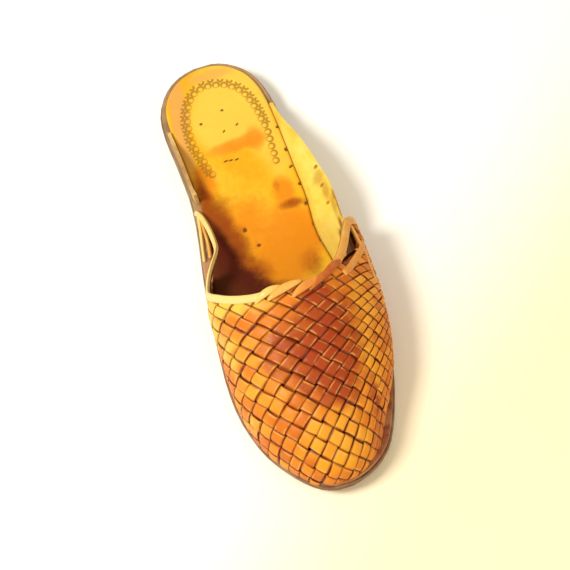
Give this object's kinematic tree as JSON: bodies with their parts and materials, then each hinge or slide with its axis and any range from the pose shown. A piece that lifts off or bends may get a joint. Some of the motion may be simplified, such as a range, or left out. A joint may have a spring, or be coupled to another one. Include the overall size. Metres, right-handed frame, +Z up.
{
  "type": "woven leather slipper sandal",
  "caption": "Closed-toe, open-back slipper sandal with a diagonally woven leather vamp, side ears, a stamped footbed and a stacked leather sole.",
  "frame": {"origin": "middle of the shoe's footprint, on the ground it stands on", "axes": "+Z up, the toe points along -Y, the outer side is +X"},
  "size_m": [0.0938, 0.2712, 0.0572],
  "materials": {
    "outsole": "dull grey-brown sole leather",
    "heel": "dull stacked leather",
    "midsole": "waxed reddish edge",
    "insole": "golden footbed, satin, stained darker forwards",
    "upper": "oiled tan woven strips, satin",
    "band": "pale yellow folded leather, satin",
    "ear": "pale yellow smooth leather, satin"
  },
  "bodies": {
    "root": {"outsole": "outsole", "heel_lift": "heel", "midsole": "midsole", "insole": "insole", "upper": "upper", "throat_band": "band", "ear_outer": "ear", "ear_inner": "ear"}
  },
  "joints": []
}
